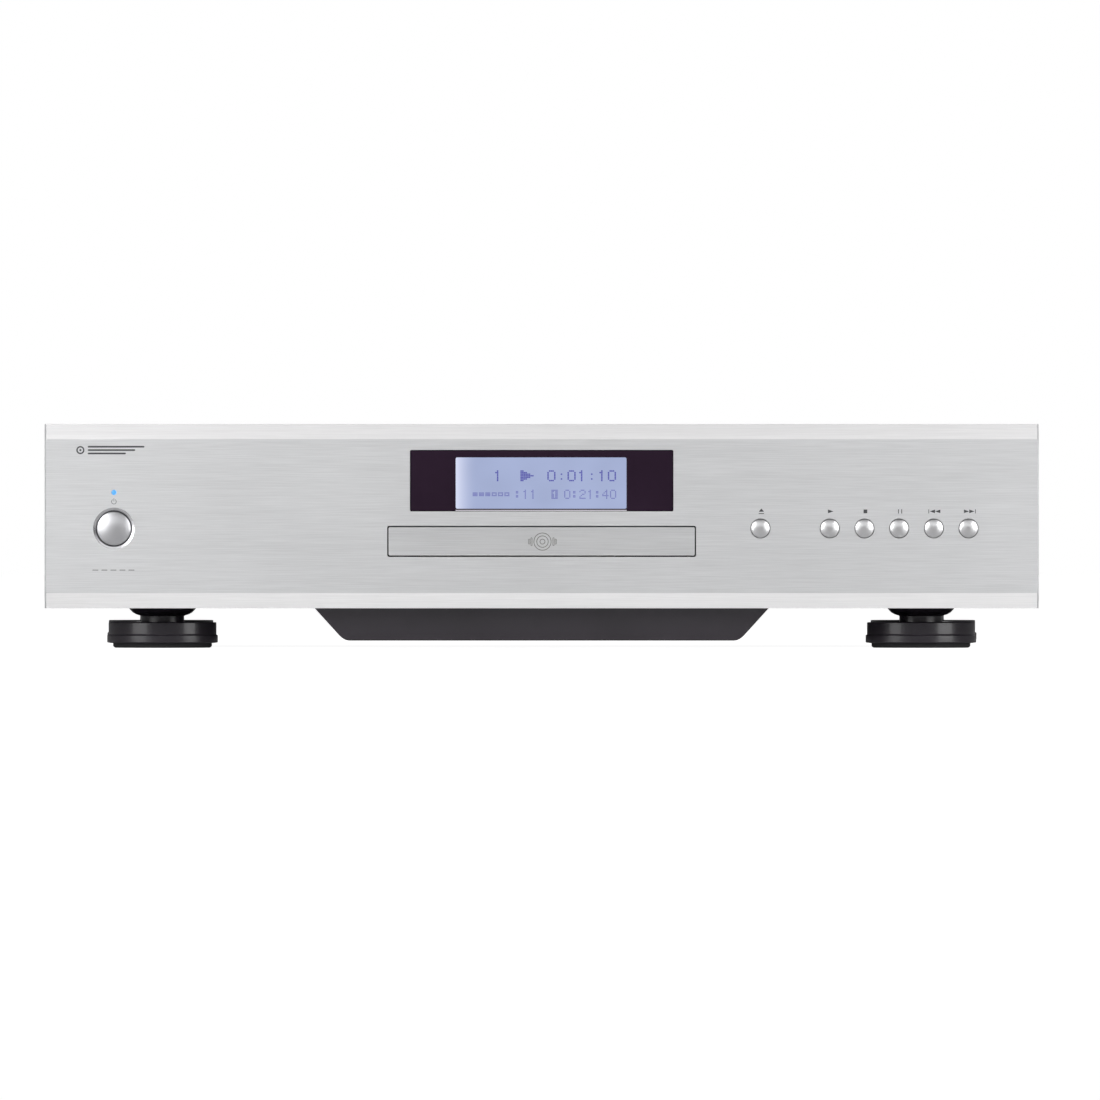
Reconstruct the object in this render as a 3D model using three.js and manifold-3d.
// A full-width CD player: aluminium front panel, steel case on four feet, a motor-driven disc tray,
// a tilting laser traverse, a toroidal power supply and rear sockets.
// Millimetres, +Z up. X runs across the front, -Y is the front. The origin is the middle of the
// outline on the surface that the feet stand on.
import * as THREE from "three";
import { mergeVertices } from "three/addons/utils/BufferGeometryUtils.js";
import Module from "manifold-3d";

const wasm = await Module();
wasm.setup();

// ---------------------------------------------------------------- driving dimensions

const WIDTH = 430;
const HEIGHT = 97;
const DEPTH = 314;
const GAP = 0.3; // between pieces that rest on each other
const SHEET = 1.2; // thickness of the steel sheet

const FOOT_CLEARANCE = 17.3; // under the front panel
const POWER_PROUD = 1.6; // how far the power button stands out of the panel
const FACE_Y = -DEPTH / 2 + POWER_PROUD;
const JACK_PROUD = 10; // how far the phono sockets stand out of the rear panel
const REAR_Y = DEPTH / 2 - JACK_PROUD;

const PANEL_DEPTH = 8;
const BEVEL_HEIGHT = 7;
const BEVEL_DEPTH = 2.6;
const END_BEVEL = 0.8;

const DOOR_WIDTH = 132.4;
const DOOR_HEIGHT = 12.25;
const DOOR_MID_Z = 46.23;
const DOOR_CLEARANCE = 0.35;
const WINDOW_WIDTH = 114;
const WINDOW_HEIGHT = 26.6;
const WINDOW_MID_Z = 72.5;
const LCD_WIDTH = 74;
const LCD_HEIGHT = 22.3;
const LCD_MID_Z = 71.45;

const CONTROL_Z = 51.8; // centre height of every button
const POWER_X = -185;
const POWER_RADIUS = 7.35;
const LED_Z = 67.4;
const BUTTON_RADIUS = 4.05;
const BUTTON_PITCH = 15;
const PLAY_X = 124.6;
const BUTTONS = [
  ["eject_button", PLAY_X - 2 * BUTTON_PITCH],
  ["play_button", PLAY_X],
  ["stop_button", PLAY_X + BUTTON_PITCH],
  ["pause_button", PLAY_X + 2 * BUTTON_PITCH],
  ["previous_button", PLAY_X + 3 * BUTTON_PITCH],
  ["next_button", PLAY_X + 4 * BUTTON_PITCH],
];

const CHASSIS_Z = FOOT_CLEARANCE + 2; // underside of the base plate
const COVER_HALF = WIDTH / 2 - 2.5;
const COVER_TOP = HEIGHT - 1.4;
const COVER_SCREW_Y = [-108, 104];
const COVER_SCREW_Z = 30;
const SCREW_HEAD = 1.8;
const VENT_COLUMNS = 5;
const VENT_PITCH = 18;

const BELLY_BOTTOM = 3.2;
const BELLY_HALF_BOTTOM = 85.7;
const BELLY_SLOPE = 0.9; // sideways per millimetre of height
const BELLY_FRONT = -143;
const BELLY_REAR = 46;

const FOOT_X = [165, 171]; // front pair, rear pair
const FOOT_Y = [-112, 112];

// Transport, measured from the spindle's axis in X and Y
const SPINDLE_Y = -81;
const TRAY_HALF = 64;
const TRAY_FRONT = FACE_Y + 5 + GAP - SPINDLE_Y;
const TRAY_REAR = 106;
const TRAY_BOTTOM = 42.6;
const TRAY_FLOOR = 44.2;
const TRAY_RIM = 48.6;
const WELL_RADIUS = 61;
const SLOT_RADIUS = 20;
const SUPPORT_Z = 48.1; // the turntable's top, where a disc lies while it plays

const PRESSURE = THREE.MathUtils.degToRad(20);
const BACKLASH = 0.16;
const RACK_MODULE = 1;
const RACK_TEETH = 49;
const RACK_PITCH_X = -52;
const PINION_TEETH = 16;
const WHEEL_MODULE = 1;
const WHEEL_TEETH = 24;
const IDLER_TEETH = 12;
const DRIVE_Y = -15 * Math.PI * RACK_MODULE; // where the rack has a gap
const PULLEY_RADIUS = 10;
const MOTOR_PULLEY_RADIUS = 4;
const BELT_SPAN = 30;

const FEED_MODULE = 0.6;
const FEED_TEETH = 14;
const FEED_RACK_TEETH = 22;
const FEED_PITCH_X = -28;
const LENS_RADIUS = 24; // from the spindle to the lens, at the start of a disc
const FEED_Y = LENS_RADIUS + 11 * Math.PI * FEED_MODULE; // where the sled's rack has a gap
const RAIL_X = 21.5;
const RAIL_Z = 40.2;
const RAIL_RADIUS = 1.25;

const TRAVERSE_FRONT = -26;
const HINGE_Y = 95;
const HINGE_Z = 37.5;
const HINGE_RADIUS = 2.4;
const HINGE_HALF = 44;
const CAM_Y = TRAVERSE_FRONT - 1;
const CAM_SHEET = 3;
const CAM_BOTTOM = 24.5;
const CAM_TRAVEL = 14;
const CAM_DROP = 8.4;

// ---------------------------------------------------------------- finishes

const finish = (color, roughness, metalness) =>
  new THREE.MeshStandardMaterial({ color, roughness, metalness });
const SILVER = finish(0xcdced0, 0.38, 0.9);
const POLISHED = finish(0xe4e4e8, 0.2, 1);
const BLACK_STEEL = finish(0x2c2a2e, 0.5, 0.3);
const BLACK_PLASTIC = finish(0x1c1b1e, 0.5, 0);
const GLOSS_BLACK = finish(0x2d202f, 0.12, 0);
const RUBBER = finish(0x161617, 0.85, 0);
const LCD_BLUE = finish(0xa5b0cf, 0.25, 0);
const LED_BLUE = finish(0x62b6f2, 0.2, 0);
const STEEL = finish(0xb4b6ba, 0.35, 1);
const WHITE_PLASTIC = finish(0xe6e4dc, 0.45, 0);
const RED_PLASTIC = finish(0xb3201c, 0.45, 0);
const ORANGE_PLASTIC = finish(0xd9741a, 0.45, 0);
const BOARD = finish(0x1f5c3a, 0.5, 0);
const COPPER_TAPE = finish(0xc9a23c, 0.45, 0.2);
const GLASS = finish(0x8fa6c9, 0.05, 0);
const GOLD = finish(0xd6b25a, 0.25, 1);

// ---------------------------------------------------------------- solids

function solid(geometry) {
  const bare = geometry.index ? geometry.toNonIndexed() : geometry.clone();
  bare.deleteAttribute("normal");
  bare.deleteAttribute("uv");
  const merged = mergeVertices(bare, 1e-4);
  const triVerts = new Uint32Array(merged.index.array);
  const vertProperties = merged.attributes.position.array;
  const made = new wasm.Manifold(new wasm.Mesh({ numProp: 3, vertProperties, triVerts }));
  if (made.volume() > 0) return made;
  const turned = triVerts.slice().reverse();
  return new wasm.Manifold(new wasm.Mesh({ numProp: 3, vertProperties, triVerts: turned }));
}

function geometryOf(made) {
  const mesh = made.getMesh();
  const geometry = new THREE.BufferGeometry();
  geometry.setAttribute("position", new THREE.BufferAttribute(mesh.vertProperties, 3));
  geometry.setIndex(new THREE.BufferAttribute(mesh.triVerts, 1));
  geometry.computeVertexNormals();
  return geometry;
}

const join = (...pieces) => geometryOf(pieces.map(solid).reduce((a, b) => a.add(b)));
const cut = (base, ...tools) =>
  geometryOf(tools.map(solid).reduce((a, b) => a.subtract(b), solid(base)));
const common = (a, b) => geometryOf(solid(a).intersect(solid(b)));

// Each prism takes an outline in the two axes that it isn't named for.
const AXES = {
  x: [new THREE.Vector3(0, 1, 0), new THREE.Vector3(0, 0, 1), new THREE.Vector3(1, 0, 0)],
  y: [new THREE.Vector3(1, 0, 0), new THREE.Vector3(0, 0, 1), new THREE.Vector3(0, -1, 0)],
  z: [new THREE.Vector3(1, 0, 0), new THREE.Vector3(0, 1, 0), new THREE.Vector3(0, 0, 1)],
};

function prism(axis, outline, from, to, curveSegments = 6) {
  const depth = to - from;
  const made = new THREE.ExtrudeGeometry(outline, { depth, bevelEnabled: false, curveSegments });
  made.translate(0, 0, axis === "y" ? -to : from);
  return made.applyMatrix4(new THREE.Matrix4().makeBasis(...AXES[axis]));
}

const polygon = (points) => new THREE.Shape(points.map(([a, b]) => new THREE.Vector2(a, b)));

function roundedRectangle(a0, a1, b0, b1, radius) {
  const outline = new THREE.Shape();
  outline.moveTo(a0 + radius, b0);
  outline.absarc(a1 - radius, b0 + radius, radius, -Math.PI / 2, 0);
  outline.absarc(a1 - radius, b1 - radius, radius, 0, Math.PI / 2);
  outline.absarc(a0 + radius, b1 - radius, radius, Math.PI / 2, Math.PI);
  outline.absarc(a0 + radius, b0 + radius, radius, Math.PI, 1.5 * Math.PI);
  return outline;
}

function block(x0, x1, y0, y1, z0, z1) {
  const made = new THREE.BoxGeometry(x1 - x0, y1 - y0, z1 - z0);
  return made.translate((x0 + x1) / 2, (y0 + y1) / 2, (z0 + z1) / 2);
}

function rod(axis, radius, from, to, [a, b] = [0, 0], sides = 20) {
  const made = new THREE.CylinderGeometry(radius, radius, to - from, sides);
  const middle = (from + to) / 2;
  if (axis === "y") return made.translate(a, middle, b);
  if (axis === "z") return made.rotateX(Math.PI / 2).translate(a, b, middle);
  return made.rotateZ(Math.PI / 2).translate(middle, a, b);
}

// A profile of [radius, height] pairs, turned about Z, or about Y with its height along +Y.
function turned(axis, profile, sides = 24) {
  const points = [...profile, profile[0]].map(([r, h]) => new THREE.Vector2(r, h));
  const made = new THREE.LatheGeometry(points, sides);
  return axis === "z" ? made.rotateX(Math.PI / 2) : made;
}

// A range of X on the left (side = -1) or the right (side = 1).
const span = (side, a, b) => [Math.min(side * a, side * b), Math.max(side * a, side * b)];

// ---------------------------------------------------------------- gears

const involute = (ratio) => Math.sqrt(ratio * ratio - 1) - Math.acos(1 / ratio);

function gearOutline(teeth, module, phase) {
  const pitch = (teeth * module) / 2;
  const base = pitch * Math.cos(PRESSURE);
  const tip = pitch + 0.8 * module;
  const root = pitch - 1.1 * module;
  const halfAtPitch = Math.PI / 2 / teeth - BACKLASH / 4 / pitch;
  const halfAt = (r) => halfAtPitch + involute(pitch / base) - involute(Math.max(r / base, 1));
  const radii = [root, Math.max(base, root + 0.01), tip];
  const points = [];
  for (let tooth = 0; tooth < teeth; tooth++) {
    const middle = phase + (tooth * 2 * Math.PI) / teeth;
    const flank = (side) => (r) => {
      const angle = middle + side * halfAt(r);
      return [r * Math.cos(angle), r * Math.sin(angle)];
    };
    points.push(...radii.map(flank(-1)), ...radii.toReversed().map(flank(1)));
  }
  return polygon(points);
}

// Rack teeth along Y, from the rail at x = 0 to their tips on the +X side. One tooth's middle is at y = 0.
function rackOutline(teeth, module, first) {
  const pitch = Math.PI * module;
  const rise = 0.8 * module;
  const drop = 1.1 * module;
  const half = pitch / 4 - BACKLASH / 4;
  const slope = Math.tan(PRESSURE);
  const points = [];
  for (let tooth = 0; tooth < teeth; tooth++) {
    const middle = (first + tooth) * pitch;
    points.push([-drop, middle - half - drop * slope]);
    points.push([rise, middle - half + rise * slope]);
    points.push([rise, middle + half - rise * slope]);
    points.push([-drop, middle + half + drop * slope]);
  }
  const back = -drop - 1.6 * module;
  const low = first * pitch - pitch / 2;
  const high = (first + teeth) * pitch - pitch / 2;
  return polygon([[back, low], [-drop, low], ...points, [-drop, high], [back, high]]);
}

// ---------------------------------------------------------------- scene graph

const player = new THREE.Group();
const front = new THREE.Group();
front.position.y = FACE_Y;
const transport = new THREE.Group();
transport.position.y = SPINDLE_Y;
const rear = new THREE.Group();
rear.position.y = REAR_Y;
player.add(front, transport, rear);

function add(group, name, geometry, material, [x, y, z] = [0, 0, 0]) {
  const mesh = new THREE.Mesh(geometryOf(solid(geometry)), material);
  mesh.name = name;
  mesh.position.set(x, y, z);
  group.add(mesh);
  return mesh;
}

// ---------------------------------------------------------------- front panel and controls
// In the front group y = 0 is the panel's face and +y goes into the player.

const windowBox = (grow, radius) =>
  roundedRectangle(
    -WINDOW_WIDTH / 2 - grow,
    WINDOW_WIDTH / 2 + grow,
    WINDOW_MID_Z - WINDOW_HEIGHT / 2 - grow,
    WINDOW_MID_Z + WINDOW_HEIGHT / 2 + grow,
    radius,
  );
const doorBox = (grow) =>
  roundedRectangle(
    -DOOR_WIDTH / 2 - grow,
    DOOR_WIDTH / 2 + grow,
    DOOR_MID_Z - DOOR_HEIGHT / 2 - grow,
    DOOR_MID_Z + DOOR_HEIGHT / 2 + grow,
    0.9,
  );
const lcdBox = (grow, radius) =>
  roundedRectangle(
    -LCD_WIDTH / 2 - grow,
    LCD_WIDTH / 2 + grow,
    LCD_MID_Z - LCD_HEIGHT / 2 - grow,
    LCD_MID_Z + LCD_HEIGHT / 2 + grow,
    radius,
  );

function frontPanel() {
  const profile = polygon([
    [PANEL_DEPTH, FOOT_CLEARANCE],
    [PANEL_DEPTH, HEIGHT],
    [BEVEL_DEPTH, HEIGHT],
    [0, HEIGHT - BEVEL_HEIGHT],
    [0, FOOT_CLEARANCE + BEVEL_HEIGHT],
    [BEVEL_DEPTH, FOOT_CLEARANCE],
  ]);
  const plan = polygon([
    [-WIDTH / 2, PANEL_DEPTH],
    [-WIDTH / 2, END_BEVEL],
    [-WIDTH / 2 + END_BEVEL, 0],
    [WIDTH / 2 - END_BEVEL, 0],
    [WIDTH / 2, END_BEVEL],
    [WIDTH / 2, PANEL_DEPTH],
  ]);
  const slab = common(prism("x", profile, -WIDTH / 2, WIDTH / 2), prism("z", plan, 0, HEIGHT));
  const through = [-1, PANEL_DEPTH + 1];
  const dish = turned("y", [[0, -0.5], [9.3, -0.5], [8.95, 0], [7.8, 1.8], [7.7, 2.2], [0, 2.2]], 28);
  return cut(
    slab,
    prism("y", windowBox(0, 0.6), ...through, 2),
    prism("y", doorBox(DOOR_CLEARANCE), ...through, 2),
    dish.translate(POWER_X, 0, CONTROL_Z),
    rod("y", POWER_RADIUS + 0.3, ...through, [POWER_X, CONTROL_Z], 28),
    rod("y", 1.15, ...through, [POWER_X, LED_Z], 12),
    ...BUTTONS.map(([, x]) => rod("y", BUTTON_RADIUS + 0.25, ...through, [x, CONTROL_Z], 16)),
  );
}

function displayWindow() {
  const plate = prism("y", windowBox(-0.25, 0.4), 0.4, PANEL_DEPTH, 1);
  const flange = prism("y", windowBox(3, 1), PANEL_DEPTH + GAP, PANEL_DEPTH + 1.8, 1);
  const neck = prism("y", windowBox(-0.25, 0.4), PANEL_DEPTH - 1, PANEL_DEPTH + 1, 1);
  return cut(join(plate, neck, flange), prism("y", lcdBox(0, 0.9), -1, PANEL_DEPTH + 3, 3));
}

function lcdModule() {
  const glass = prism("y", lcdBox(-0.25, 0.7), 1, PANEL_DEPTH + 3, 3);
  const carrier = prism("y", windowBox(-2, 1), PANEL_DEPTH + 2.1, PANEL_DEPTH + 8, 1);
  return join(glass, carrier);
}

// The dome, the collar that keeps the button behind the panel, and the stem.
function buttonShape(radius, proud, crown, collar, stemRadius, stemEnd, sides) {
  const steps = 3;
  const arc = [];
  for (let step = 0; step <= steps; step++) {
    const angle = (step / steps) * (Math.PI / 2);
    arc.push([radius * Math.sin(angle), -proud + crown * (1 - Math.cos(angle))]);
  }
  return turned(
    "y",
    [
      ...arc,
      [radius, PANEL_DEPTH + GAP],
      [collar, PANEL_DEPTH + GAP],
      [collar, PANEL_DEPTH + GAP + 1],
      [stemRadius, PANEL_DEPTH + GAP + 1],
      [stemRadius, stemEnd],
      [0, stemEnd],
    ],
    sides,
  );
}

function frontBoard() {
  const board = block(PLAY_X - 40, PLAY_X + 70, 12.4, 14, 38, 66);
  const switches = BUTTONS.map(([, x]) => block(x - 3, x + 3, 11, 12.5, CONTROL_Z - 3, CONTROL_Z + 3));
  const standoffs = [PLAY_X - 36, PLAY_X + 66].map((x) =>
    block(x - 2.5, x + 2.5, PANEL_DEPTH + GAP, 12.5, 60, 65),
  );
  return join(board, ...switches, ...standoffs);
}

function powerSwitch() {
  const body = block(-7, 7, 24, 44, CONTROL_Z - 7, CONTROL_Z + 7);
  const plunger = block(-2.5, 2.5, 21.5, 24.5, CONTROL_Z - 2.5, CONTROL_Z + 2.5);
  const bracket = block(-9, 9, 43.5, 45, CHASSIS_Z + SHEET + GAP, CONTROL_Z + 7);
  const foot = block(-9, 9, 30, 45, CHASSIS_Z + SHEET + GAP, CHASSIS_Z + SHEET + GAP + 1.5);
  return join(body, plunger, bracket, foot);
}

add(front, "front_panel", frontPanel(), SILVER);
add(front, "display_window", displayWindow(), GLOSS_BLACK);
add(front, "lcd_module", lcdModule(), LCD_BLUE);
add(
  front,
  "power_led",
  turned("y", [[0, -0.1], [0.8, 0], [1, 0.3], [1, 9], [2, 9], [2, 10.5], [0, 10.5]], 12),
  LED_BLUE,
  [POWER_X, 0, LED_Z],
);
add(
  front,
  "power_button",
  buttonShape(POWER_RADIUS, POWER_PROUD, 1.9, 9, 3, 18, 28),
  POLISHED,
  [POWER_X, 0, CONTROL_Z],
);
add(front, "power_switch", powerSwitch(), BLACK_PLASTIC, [POWER_X, 0, 0]);
for (const [name, x] of BUTTONS) {
  add(
    front,
    name,
    buttonShape(BUTTON_RADIUS, 1.3, 1.2, 5.2, 1.6, 10.1, 16),
    POLISHED,
    [x, 0, CONTROL_Z],
  );
}
add(front, "front_board", frontBoard(), BOARD);

// ---------------------------------------------------------------- case

const CASE_FRONT = FACE_Y + PANEL_DEPTH + GAP;
const COVER_REAR = REAR_Y - 0.2;

function topCover() {
  const outer = block(-COVER_HALF, COVER_HALF, CASE_FRONT, COVER_REAR, CHASSIS_Z + 1.4, COVER_TOP);
  const inner = block(
    -COVER_HALF + SHEET,
    COVER_HALF - SHEET,
    CASE_FRONT - 1,
    COVER_REAR + 1,
    CHASSIS_Z - 1,
    COVER_TOP - SHEET,
  );
  const slots = [];
  for (const side of [-1, 1]) {
    for (let row = 0; row < 2; row++) {
      for (let column = 0; column < VENT_COLUMNS; column++) {
        const x = side * (110 + column * VENT_PITCH);
        const y = -40 + row * 70;
        slots.push(prism("z", roundedRectangle(x - 2, x + 2, y, y + 58, 1.9), 90, 100, 1));
      }
    }
  }
  const screwHoles = [];
  for (const side of [-1, 1]) {
    for (const y of COVER_SCREW_Y) {
      const ends = side > 0 ? [COVER_HALF - 3, COVER_HALF + 1] : [-COVER_HALF - 1, -COVER_HALF + 3];
      screwHoles.push(rod("x", 1.9, ...ends, [y, COVER_SCREW_Z], 8));
    }
  }
  return cut(outer, inner, ...slots, ...screwHoles);
}

function coverScrew(side) {
  const head = turned("y", [[0, 0], [2.5, 0], [3.6, 0.8], [3.6, SCREW_HEAD], [0, SCREW_HEAD]], 12);
  const slot = block(-1.9, 1.9, -1, 0.9, -0.5, 0.5);
  const crossSlot = block(-0.5, 0.5, -1, 0.9, -1.9, 1.9);
  const shank = rod("y", 1.5, 1.5, 7, [0, 0], 8);
  return join(cut(head, slot, crossSlot), shank).rotateZ((side * Math.PI) / 2);
}

const BELLY_TOP_HALF = BELLY_HALF_BOTTOM + (CHASSIS_Z - BELLY_BOTTOM) * BELLY_SLOPE;

function chassisBase() {
  const half = COVER_HALF - SHEET - 0.4;
  const back = REAR_Y - SHEET - GAP;
  const pan = block(-half, half, CASE_FRONT, back, CHASSIS_Z, CHASSIS_Z + 16);
  const hollow = block(
    -half + SHEET,
    half - SHEET,
    CASE_FRONT + SHEET,
    back + 1,
    CHASSIS_Z + SHEET,
    CHASSIS_Z + 17,
  );
  const lining = BELLY_TOP_HALF - 2;
  const well = block(-lining, lining, BELLY_FRONT + 4, BELLY_REAR - 4, CHASSIS_Z - 1, CHASSIS_Z + 3);
  const taps = [];
  for (const side of [-1, 1]) {
    for (const y of COVER_SCREW_Y) {
      const ends = side > 0 ? [half - 3, half + 1] : [-half - 1, -half + 3];
      taps.push(rod("x", 1.9, ...ends, [y, COVER_SCREW_Z], 8));
    }
  }
  return cut(pan, hollow, well, ...taps);
}

// The sloped tub that hangs under the base plate and makes room for the transport.
function bellyBlock(shrink, top) {
  const low = BELLY_BOTTOM + shrink;
  const halfLow = BELLY_HALF_BOTTOM - shrink * 0.6;
  const halfTop = halfLow + (top - low) * BELLY_SLOPE;
  const soft = 2.4;
  const across = new THREE.Shape();
  across.moveTo(-halfTop, top);
  across.lineTo(-halfLow - soft * BELLY_SLOPE, low + soft);
  across.quadraticCurveTo(-halfLow, low, -halfLow + soft, low);
  across.lineTo(halfLow - soft, low);
  across.quadraticCurveTo(halfLow, low, halfLow + soft * BELLY_SLOPE, low + soft);
  across.lineTo(halfTop, top);
  const lean = 0.35;
  const along = polygon([
    [BELLY_FRONT + shrink, top],
    [BELLY_FRONT + shrink + (top - low) * lean, low],
    [BELLY_REAR - shrink - (top - low) * lean, low],
    [BELLY_REAR - shrink, top],
  ]);
  return common(
    prism("y", across, BELLY_FRONT - 5, BELLY_REAR + 5, 4),
    prism("x", along, -WIDTH / 2, WIDTH / 2),
  );
}

function underbelly() {
  const top = CHASSIS_Z - GAP;
  const half = BELLY_TOP_HALF;
  const flange = block(-half - 8, half + 8, BELLY_FRONT - 3, BELLY_REAR + 8, top - SHEET, top);
  return cut(join(bellyBlock(0, top), flange), bellyBlock(SHEET, top + 2));
}

add(player, "top_cover", topCover(), BLACK_STEEL);
add(player, "chassis_base", chassisBase(), BLACK_STEEL);
add(player, "underbelly_tub", underbelly(), BLACK_STEEL);
for (const [side, label] of [[-1, "left"], [1, "right"]]) {
  COVER_SCREW_Y.forEach((y, end) => {
    const place = [side * (COVER_HALF + GAP + SCREW_HEAD), y, COVER_SCREW_Z];
    add(player, `cover_screw_${label}_${end ? "rear" : "front"}`, coverScrew(side), STEEL, place);
  });
}

// ---------------------------------------------------------------- feet

const PAD_TOP = 3;
const footProfile = [
  [0, PAD_TOP + GAP],
  [21.8, PAD_TOP + GAP],
  [21.8, 2],
  [24.1, 2.2],
  [24.1, 5.6],
  [23.5, 6],
  [23.4, 11],
  [9.4, 11.1],
  [9.4, 13.9],
  [13, 15.4],
  [15.6, CHASSIS_Z - GAP],
  [0, CHASSIS_Z - GAP],
];
const padProfile = [[0, 0], [21.5, 0], [21.5, PAD_TOP], [0, PAD_TOP]];

FOOT_Y.forEach((y, end) => {
  for (const [side, label] of [[-1, "left"], [1, "right"]]) {
    const foot = new THREE.Group();
    foot.position.set(side * FOOT_X[end], y, 0);
    player.add(foot);
    const place = `${end ? "rear" : "front"}_${label}`;
    add(foot, `foot_${place}`, turned("z", footProfile, 22), BLACK_PLASTIC);
    add(foot, `foot_pad_${place}`, turned("z", padProfile, 22), RUBBER);
  }
});

// ---------------------------------------------------------------- rear panel and sockets
// In the rear group y = 0 is the panel's outer face and +y points out of the player.

const INLET_X = -165;
const INLET_Z = 56;
const JACK_Z = 58;
const JACKS = [
  ["analog_left", 166, WHITE_PLASTIC],
  ["analog_right", 144, RED_PLASTIC],
  ["digital", 104, ORANGE_PLASTIC],
];
const REMOTE_X = 70;

function rearPanel() {
  const half = COVER_HALF - SHEET - 0.4;
  const sheet = block(-half, half, -SHEET, 0, CHASSIS_Z, COVER_TOP - SHEET - 0.4);
  const hole = roundedRectangle(INLET_X - 13.8, INLET_X + 13.8, INLET_Z - 10.3, INLET_Z + 10.3, 1);
  return cut(
    sheet,
    prism("y", hole, -3, 1, 2),
    ...JACKS.map(([, x]) => rod("y", 4.5, -3, 1, [x, JACK_Z], 20)),
    rod("y", 3.4, -3, 1, [REMOTE_X, JACK_Z], 16),
  );
}

const INLET_MOUTH = 2.6;

function mainsInlet() {
  const flange = prism("y", roundedRectangle(-16, 16, -12, 12, 2), GAP, INLET_MOUTH, 3);
  const body = prism("y", roundedRectangle(-13.5, 13.5, -10, 10, 1), -24, GAP + 0.5, 2);
  const mouth = polygon([
    [-12.2, -8.2],
    [12.2, -8.2],
    [12.2, 4.4],
    [8.4, 8.2],
    [-8.4, 8.2],
    [-12.2, 4.4],
  ]);
  const floor = -15.5;
  const shell = cut(join(flange, body), prism("y", mouth, floor, INLET_MOUTH + 1));
  const blade = (x, z) => block(x - 1, x + 1, floor - 1, INLET_MOUTH - 5.2, z - 2, z + 2);
  const tags = [-7, 0, 7].map((x) => block(x - 0.4, x + 0.4, -30, -23.5, -2.4, 2.4));
  return join(shell, blade(-7, -2), blade(7, -2), blade(0, 2), ...tags);
}

const jackShell = [
  [3.5, JACK_PROUD],
  [4.15, JACK_PROUD],
  [4.15, 2.4],
  [6.2, 2.4],
  [6.2, GAP],
  [4.15, GAP],
  [4.15, -9],
  [3.5, -9],
];
const jackCore = [
  [1.7, JACK_PROUD - 0.3],
  [3.3, JACK_PROUD - 0.3],
  [3.3, -12],
  [0, -12],
  [0, JACK_PROUD - 8],
  [1.7, JACK_PROUD - 8],
];
const remoteShell = [
  [1.8, 3.6],
  [3.1, 3.6],
  [3.1, 1.8],
  [4.6, 1.8],
  [4.6, GAP],
  [3.1, GAP],
  [3.1, -12],
  [0, -12],
  [0, -11],
  [1.8, -11],
];

add(rear, "rear_panel", rearPanel(), BLACK_STEEL);
add(rear, "mains_inlet", mainsInlet(), BLACK_PLASTIC, [INLET_X, 0, INLET_Z]);
for (const [name, x, colour] of JACKS) {
  add(rear, `${name}_socket`, turned("y", jackShell, 14), GOLD, [x, 0, JACK_Z]);
  add(rear, `${name}_insert`, turned("y", jackCore, 14), colour, [x, 0, JACK_Z]);
}
add(rear, "remote_socket", turned("y", remoteShell, 12), BLACK_PLASTIC, [REMOTE_X, 0, JACK_Z]);

// ---------------------------------------------------------------- disc tray
// In the transport group x = y = 0 is the spindle's axis.

function discTray() {
  const body = block(-TRAY_HALF, TRAY_HALF, TRAY_FRONT, TRAY_REAR, TRAY_BOTTOM, TRAY_RIM);
  const lug = block(-40, 40, TRAY_FRONT - 2 * GAP, TRAY_FRONT + 1, TRAY_BOTTOM, TRAY_RIM);
  const slot = block(-SLOT_RADIUS, SLOT_RADIUS, 0, TRAY_REAR + 1, 40, 50);
  const yard = roundedRectangle(28, 58, WELL_RADIUS - 20, TRAY_REAR - 6, 3);
  const leftYard = roundedRectangle(-50, -28, WELL_RADIUS - 20, TRAY_REAR - 6, 3);
  const teeth = rackOutline(RACK_TEETH, RACK_MODULE, -17.5);
  const rack = prism("z", teeth, TRAY_BOTTOM - 2, TRAY_BOTTOM + 0.5).translate(RACK_PITCH_X, 0, 0);
  const basin = cut(
    join(body, lug),
    rod("z", WELL_RADIUS, TRAY_FLOOR, 50, [0, 0], 44),
    rod("z", 40.5, TRAY_FLOOR - 0.7, 50, [0, 0], 32),
    rod("z", SLOT_RADIUS, 40, 50, [0, 0], 24),
    slot,
    prism("z", yard, TRAY_FLOOR, 50, 2),
    prism("z", leftYard, TRAY_FLOOR, 50, 2),
  );
  return join(basin, rack);
}

const DOOR_THICKNESS = 4.4;
const trayDoor = () => prism("y", doorBox(0), 0, DOOR_THICKNESS, 2);

// ---------------------------------------------------------------- loading drive

const PINION_RADIUS = (PINION_TEETH * RACK_MODULE) / 2;
const DRIVE_X = RACK_PITCH_X + PINION_RADIUS;
const IDLER_X = DRIVE_X + ((WHEEL_TEETH + IDLER_TEETH) * WHEEL_MODULE) / 2;
const MOTOR_X = IDLER_X + BELT_SPAN;
const LOADER_FLOOR = 28;
const LOADER_TOP = 51.9;

// A tooth points at -X, where a gap of the rack is, and the wheel has a tooth at +X.
function driveGear() {
  const wheel = prism("z", gearOutline(WHEEL_TEETH, WHEEL_MODULE, 0), 36, 38.4);
  const pinion = prism("z", gearOutline(PINION_TEETH, RACK_MODULE, Math.PI), 38.2, 42.3);
  return cut(join(wheel, pinion), rod("z", 2.3, 30, 45, [0, 0], 12));
}

// Two flanges and the flat groove between them that the belt runs in.
function pulleyProfile(radius, flange, bottom) {
  const rim = radius + flange;
  return [
    [0, bottom],
    [rim, bottom],
    [rim, 31.5],
    [radius, 31.8],
    [radius, 34.2],
    [rim, 34.5],
    [rim, 35],
    [0, 35],
  ];
}

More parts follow.
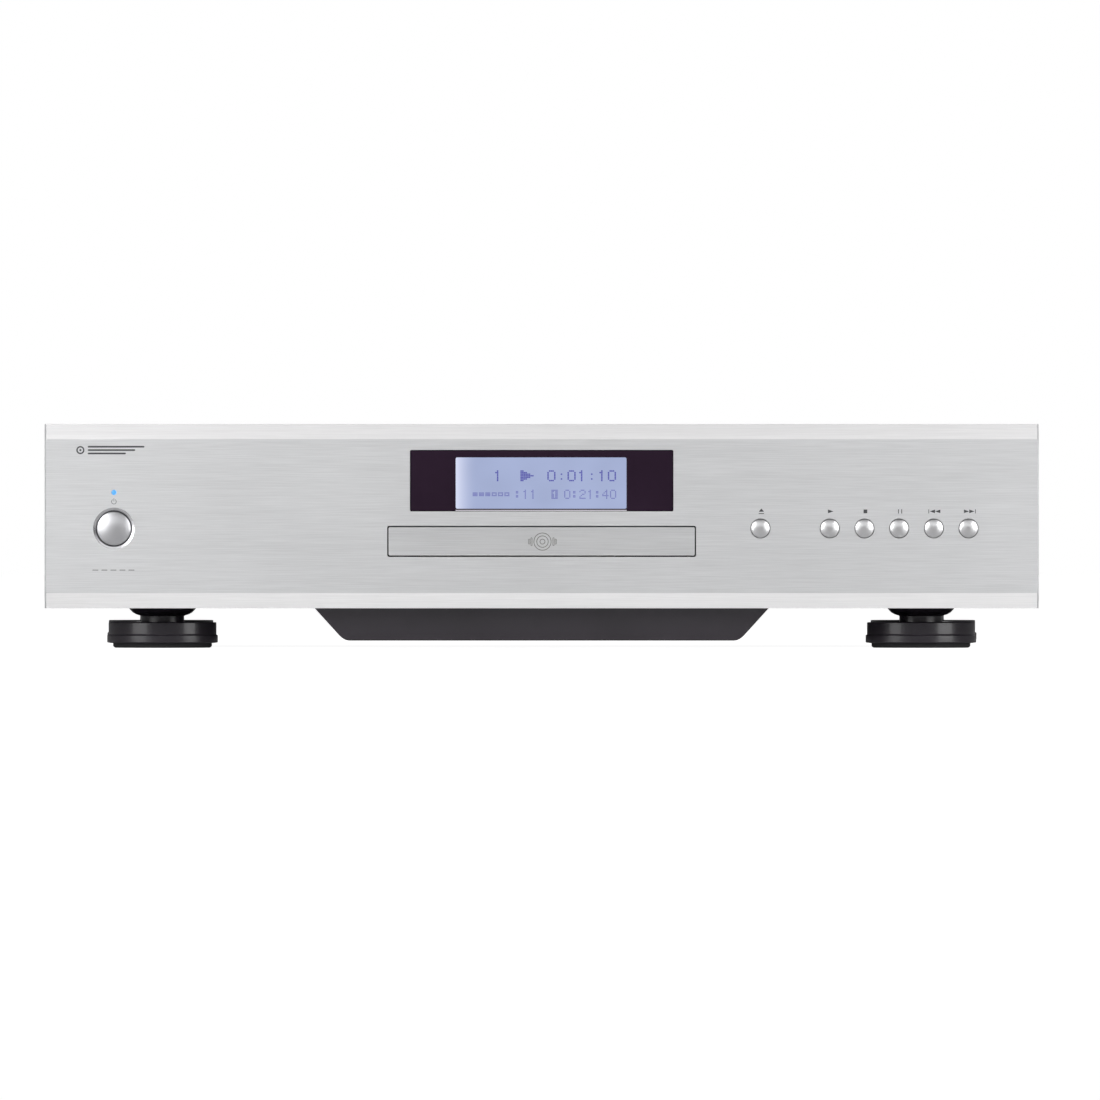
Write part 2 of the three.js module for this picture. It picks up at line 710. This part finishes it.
function pulleyGear() {
  const gap = Math.PI + Math.PI / IDLER_TEETH;
  const pinion = prism("z", gearOutline(IDLER_TEETH, WHEEL_MODULE, gap), 34.6, 38.7);
  const pulley = turned("z", pulleyProfile(PULLEY_RADIUS, 1.4, 30.8), 20);
  return cut(join(pinion, pulley), rod("z", 1.8, 28, 45, [0, 0], 12));
}

const motorPulley = () => turned("z", pulleyProfile(MOTOR_PULLEY_RADIUS, 1.2, 30.6), 16);

// The loop round two pulleys of radii big, at x = 0, and small, at x = span.
function loopOutline(big, small, span) {
  const lean = Math.asin((big - small) / span);
  const outline = new THREE.Shape();
  outline.absarc(0, 0, big, Math.PI / 2 - lean, 1.5 * Math.PI + lean);
  outline.absarc(span, 0, small, -Math.PI / 2 + lean, Math.PI / 2 - lean);
  return outline;
}

function driveBelt() {
  const inside = 0.2;
  const thick = 1;
  const outer = loopOutline(PULLEY_RADIUS + inside + thick, MOTOR_PULLEY_RADIUS + inside + thick, BELT_SPAN);
  const inner = loopOutline(PULLEY_RADIUS + inside, MOTOR_PULLEY_RADIUS + inside, BELT_SPAN);
  return cut(prism("z", outer, 32.2, 33.8, 10), prism("z", inner, 31, 35, 10));
}

function loadingMotor() {
  const can = rod("z", 10, 10.5, 27.7, [0, 0], 20);
  const nose = rod("z", 3, 27.5, 30.2, [0, 0], 16);
  return join(can, nose);
}

function loaderFrame() {
  const inside = TRAY_HALF + 0.5;
  const wall = 2.5;
  const outside = inside + wall;
  const y0 = CASE_FRONT - SPINDLE_Y + 1.6;
  const y1 = 122;
  const floor = block(-outside, outside, y0, y1, LOADER_FLOOR, LOADER_FLOOR + 2);
  const opening = block(-50, 50, CAM_Y - CAM_SHEET - GAP, 108, LOADER_FLOOR - 1, LOADER_FLOOR + 3);
  const parts = [cut(floor, opening)];
  const bearingFront = HINGE_Y - 4;
  const bearingRear = HINGE_Y + 4;
  for (const side of [-1, 1]) {
    parts.push(block(...span(side, inside, outside), y0, y1, LOADER_FLOOR, LOADER_TOP));
    parts.push(block(...span(side, 58, outside), y0, y1, 40.6, TRAY_BOTTOM - GAP));
    parts.push(block(...span(side, 60, outside), y0, -40, TRAY_RIM + GAP, LOADER_TOP));
    parts.push(block(...span(side, 60, outside), 60, 84, TRAY_RIM + GAP, LOADER_TOP));
    for (const y of [-58, 104]) {
      parts.push(block(...span(side, outside - 1, 108), y, y + 12, LOADER_FLOOR, LOADER_FLOOR + 2));
      parts.push(block(...span(side, 101, 108), y, y + 12, CHASSIS_Z + SHEET + GAP, LOADER_FLOOR + 1));
    }
    parts.push(block(...span(side, 40, 49.5), bearingFront, bearingRear, LOADER_FLOOR, HINGE_Z + 4.3));
    parts.push(block(...span(side, 40, 54), bearingFront, bearingRear, LOADER_FLOOR, LOADER_FLOOR + 2));
  }
  for (const x of [-30, 26]) {
    const edge = CAM_Y - CAM_SHEET - GAP;
    parts.push(block(x - 4, x + 4, edge - 5, edge, CAM_BOTTOM - GAP - 1.7, LOADER_FLOOR + 1));
    parts.push(block(x - 4, x + 4, edge - 1, CAM_Y, CAM_BOTTOM - GAP - 1.7, CAM_BOTTOM - GAP));
  }
  parts.push(rod("z", 1.9, LOADER_FLOOR, 42, [DRIVE_X, DRIVE_Y], 12));
  parts.push(rod("z", 1.4, LOADER_FLOOR, 39.5, [IDLER_X, DRIVE_Y], 12));
  const noseHole = rod("z", 3.5, LOADER_FLOOR - 2, LOADER_FLOOR + 4, [MOTOR_X, DRIVE_Y], 16);
  const bearing = rod("x", HINGE_RADIUS + GAP, -HINGE_HALF - 1, HINGE_HALF + 1, [HINGE_Y, HINGE_Z], 16);
  return cut(join(...parts), noseHole, bearing);
}

// ---------------------------------------------------------------- disc clamp

const BRIDGE_Z = LOADER_TOP + GAP;

function clampBridge() {
  const plate = block(-66.5, 66.5, -18, 18, BRIDGE_Z, BRIDGE_Z + SHEET);
  const ribs = [-16.8, 15.6].map((y) => block(-60, 60, y, y + SHEET, BRIDGE_Z, BRIDGE_Z + 4));
  return cut(join(plate, ...ribs), rod("z", 13, BRIDGE_Z - 1, BRIDGE_Z + 5, [0, 0], 28));
}

const clampProfile = [
  [8.2, 52.6],
  [8.2, 49.9],
  [9, 49.6],
  [12, 49.6],
  [12, BRIDGE_Z + SHEET + GAP],
  [15, BRIDGE_Z + SHEET + GAP],
  [15, BRIDGE_Z + SHEET + 1.6],
  [11, BRIDGE_Z + SHEET + 2.4],
  [0, BRIDGE_Z + SHEET + 2.4],
  [0, 52.6],
];

// ---------------------------------------------------------------- traverse

const CAM_PIN_X = [-24, 20];
const CAM_PIN_Z = 36;

function traverseFrame() {
  const plate = block(-38, 38, TRAVERSE_FRONT, HINGE_Y + 3, 36.3, 38);
  const sledWell = block(-25, 26, 14, 76, 30, 38.2);
  const motorHole = rod("z", 5.4, 30, 45, [0, 0], 20);
  const feedHole = rod("z", 2.6, 30, 45, [FEED_X, FEED_Y], 16);
  const skirt = block(-38, 38, TRAVERSE_FRONT, TRAVERSE_FRONT + 2, 33, 38);
  const pins = CAM_PIN_X.map((x) =>
    rod("y", 1.5, CAM_Y - CAM_SHEET, TRAVERSE_FRONT + 1, [x, CAM_PIN_Z], 12),
  );
  const cradles = [];
  for (const x of [-RAIL_X, RAIL_X]) {
    for (const y of [10.4, 79]) cradles.push(block(x - 2.6, x + 2.6, y, y + 3, 37, RAIL_Z + 0.6));
  }
  const bores = [-RAIL_X, RAIL_X].map((x) => rod("y", RAIL_RADIUS + GAP, 9, 84, [x, RAIL_Z], 12));
  const barrel = rod("x", HINGE_RADIUS, -HINGE_HALF, HINGE_HALF, [HINGE_Y, HINGE_Z], 16);
  return cut(join(cut(plate, sledWell, motorHole, feedHole), skirt, ...pins, ...cradles, barrel), ...bores);
}

const FEED_X = FEED_PITCH_X - (FEED_TEETH * FEED_MODULE) / 2;

function spindleMotor() {
  return join(rod("z", 12, 24.5, 36, [0, 0], 20), rod("z", 5, 35.5, 42.6, [0, 0], 16));
}

const turntableProfile = [
  [0, 42.9],
  [4.6, 42.9],
  [4.6, 46.3],
  [15, 46.3],
  [15, SUPPORT_Z],
  [7.4, SUPPORT_Z],
  [7.4, SUPPORT_Z + 0.8],
  [5.6, SUPPORT_Z + 1.9],
  [0, SUPPORT_Z + 1.9],
];

// The sled's own origin is under the lens.
function pickupSled() {
  const deck = block(-24.8, 25.2, -9, 12, 38.3, 42.1);
  const keel = block(-17, 17, -9, 12, 33, 39);
  const tower = block(-13, 13, -8.4, 10, 42, 45.4);
  const lensWell = rod("z", 4.2, 43, 46, [0, 0], 20);
  const bores = [-RAIL_X, RAIL_X].map((x) => rod("y", RAIL_RADIUS + GAP, -12, 14, [x, RAIL_Z], 12));
  const teeth = rackOutline(FEED_RACK_TEETH, FEED_MODULE, -9.5);
  const rack = prism("z", teeth, 39.2, 41.4).rotateY(Math.PI).translate(0, 0, 80.6);
  const arm = block(FEED_PITCH_X + 1.4, -24.5, -9, 12, 39.2, 41.4);
  const rail = rack.translate(FEED_PITCH_X, 0, 0);
  return join(cut(join(deck, keel, tower), lensWell, ...bores), arm, rail);
}

function feedGear() {
  const teeth = prism("z", gearOutline(FEED_TEETH, FEED_MODULE, 0), 39, 41.6);
  return join(teeth, rod("z", 1.5, 34, 39.5, [0, 0], 12));
}

function feedMotor() {
  const can = rod("z", 7.5, 22, 33.6, [0, 0], 20);
  const bracket = block(-8, 8, -10, 10, 34.4, 36);
  const web = block(-8, 8, -10, -8, 24, 36);
  const lugs = cut(join(bracket, web, block(-8, 8, -8.5, -5, 24, 33)), rod("z", 2.2, 34, 38, [0, 0], 16));
  return join(lugs, can);
}

function camSlider() {
  const plate = block(-42, 32, -CAM_SHEET, 0, CAM_BOTTOM, 40);
  const angle = Math.atan2(CAM_DROP, CAM_TRAVEL);
  const half = 1.5 + 0.5;
  const quarter = Math.PI / 2;
  const slots = CAM_PIN_X.map((x) => {
    const outline = new THREE.Shape();
    outline.absarc(x, CAM_PIN_Z, half, angle - quarter, angle + quarter);
    outline.absarc(x - CAM_TRAVEL, CAM_PIN_Z - CAM_DROP, half, angle + quarter, angle + 3 * quarter);
    return prism("y", outline, -CAM_SHEET - 1, 1, 6);
  });
  return cut(plate, ...slots);
}

add(transport, "disc_tray", discTray(), BLACK_PLASTIC);
add(front, "tray_door", trayDoor(), SILVER);
add(transport, "loader_frame", loaderFrame(), BLACK_PLASTIC);
add(transport, "drive_gear", driveGear(), WHITE_PLASTIC, [DRIVE_X, DRIVE_Y, 0]);
add(transport, "pulley_gear", pulleyGear(), WHITE_PLASTIC, [IDLER_X, DRIVE_Y, 0]);
add(transport, "motor_pulley", motorPulley(), WHITE_PLASTIC, [MOTOR_X, DRIVE_Y, 0]);
add(transport, "drive_belt", driveBelt(), RUBBER, [IDLER_X, DRIVE_Y, 0]);
add(transport, "loading_motor", loadingMotor(), STEEL, [MOTOR_X, DRIVE_Y, 0]);
add(transport, "clamp_bridge", clampBridge(), STEEL);
add(transport, "disc_clamp", turned("z", clampProfile, 20), BLACK_PLASTIC);
add(transport, "traverse_frame", traverseFrame(), BLACK_PLASTIC);
add(transport, "spindle_motor", spindleMotor(), STEEL);
add(transport, "turntable", turned("z", turntableProfile, 20), BLACK_PLASTIC);
for (const [side, label] of [[-1, "left"], [1, "right"]]) {
  const rail = rod("y", RAIL_RADIUS, 10, 82.4, [0, 0], 12);
  add(transport, `guide_rail_${label}`, rail, STEEL, [side * RAIL_X, 0, RAIL_Z]);
}
add(transport, "pickup_sled", pickupSled(), STEEL, [0, LENS_RADIUS, 0]);
add(
  transport,
  "objective_lens",
  turned("z", [[0, 43.8], [3.6, 43.8], [3.6, 45.6], [2.4, 46.4], [0, 46.6]], 16),
  GLASS,
  [0, LENS_RADIUS, 0],
);
add(transport, "feed_gear", feedGear(), WHITE_PLASTIC, [FEED_X, FEED_Y, 0]);
add(transport, "feed_motor", feedMotor(), STEEL, [FEED_X, FEED_Y, 0]);
add(transport, "cam_slider", camSlider(), WHITE_PLASTIC, [0, CAM_Y, 0]);

// ---------------------------------------------------------------- power supply and audio board

const BOARD_Z = CHASSIS_Z + SHEET + 8;

function populatedBoard(x0, x1, y0, y1, components) {
  const board = block(x0, x1, y0, y1, BOARD_Z, BOARD_Z + 1.6);
  const posts = [x0 + 5, x1 - 5].flatMap((x) =>
    [y0 + 5, y1 - 5].map((y) => rod("z", 3, CHASSIS_Z + SHEET + GAP, BOARD_Z + 0.5, [x, y], 8)),
  );
  const mounted = components.map(([kind, x, y, a, b, tall]) =>
    kind === "can"
      ? rod("z", a, BOARD_Z + 1, BOARD_Z + 1 + tall, [x, y], 14)
      : block(x - a, x + a, y - b, y + b, BOARD_Z + 1, BOARD_Z + 1 + tall),
  );
  return join(board, ...posts, ...mounted);
}

const audioParts = [
  ["chip", 150, -60, 12, 12, 3],
  ["chip", 132, 8, 7, 4, 3],
  ["chip", 132, 30, 7, 4, 3],
  ["can", 172, 20, 6, 6, 18],
  ["can", 172, 40, 6, 6, 18],
  ["can", 190, 20, 6, 6, 18],
  ["can", 190, 40, 6, 6, 18],
  ["chip", 150, 96, 9, 6, 12],
  ["chip", 178, 96, 9, 6, 12],
];
const supplyParts = [
  ["can", -195, 88, 8, 8, 30],
  ["can", -175, 88, 8, 8, 30],
  ["can", -155, 88, 8, 8, 30],
  ["chip", -130, 90, 3, 10, 24],
  ["chip", -190, 118, 12, 7, 16],
];

function transformer() {
  const z0 = CHASSIS_Z + SHEET + GAP;
  const ring = turned(
    "z",
    [
      [14, z0 + 5],
      [17, z0],
      [41, z0],
      [45, z0 + 5],
      [45, z0 + 33],
      [41, z0 + 38],
      [17, z0 + 38],
      [14, z0 + 33],
    ],
    26,
  );
  const washer = rod("z", 24, z0 + 37.5, z0 + 39.5, [0, 0], 24);
  const bolt = rod("z", 3, z0 + 30, z0 + 46, [0, 0], 12);
  const nut = rod("z", 5.8, z0 + 39, z0 + 44, [0, 0], 6);
  return join(ring, washer, bolt, nut);
}

add(player, "audio_board", populatedBoard(112, 205, -110, 130, audioParts), BOARD);
add(player, "supply_board", populatedBoard(-206, -112, 72, 132, supplyParts), BOARD);
add(player, "power_transformer", transformer(), COPPER_TAPE, [-156, -4, 0]);

export default player;
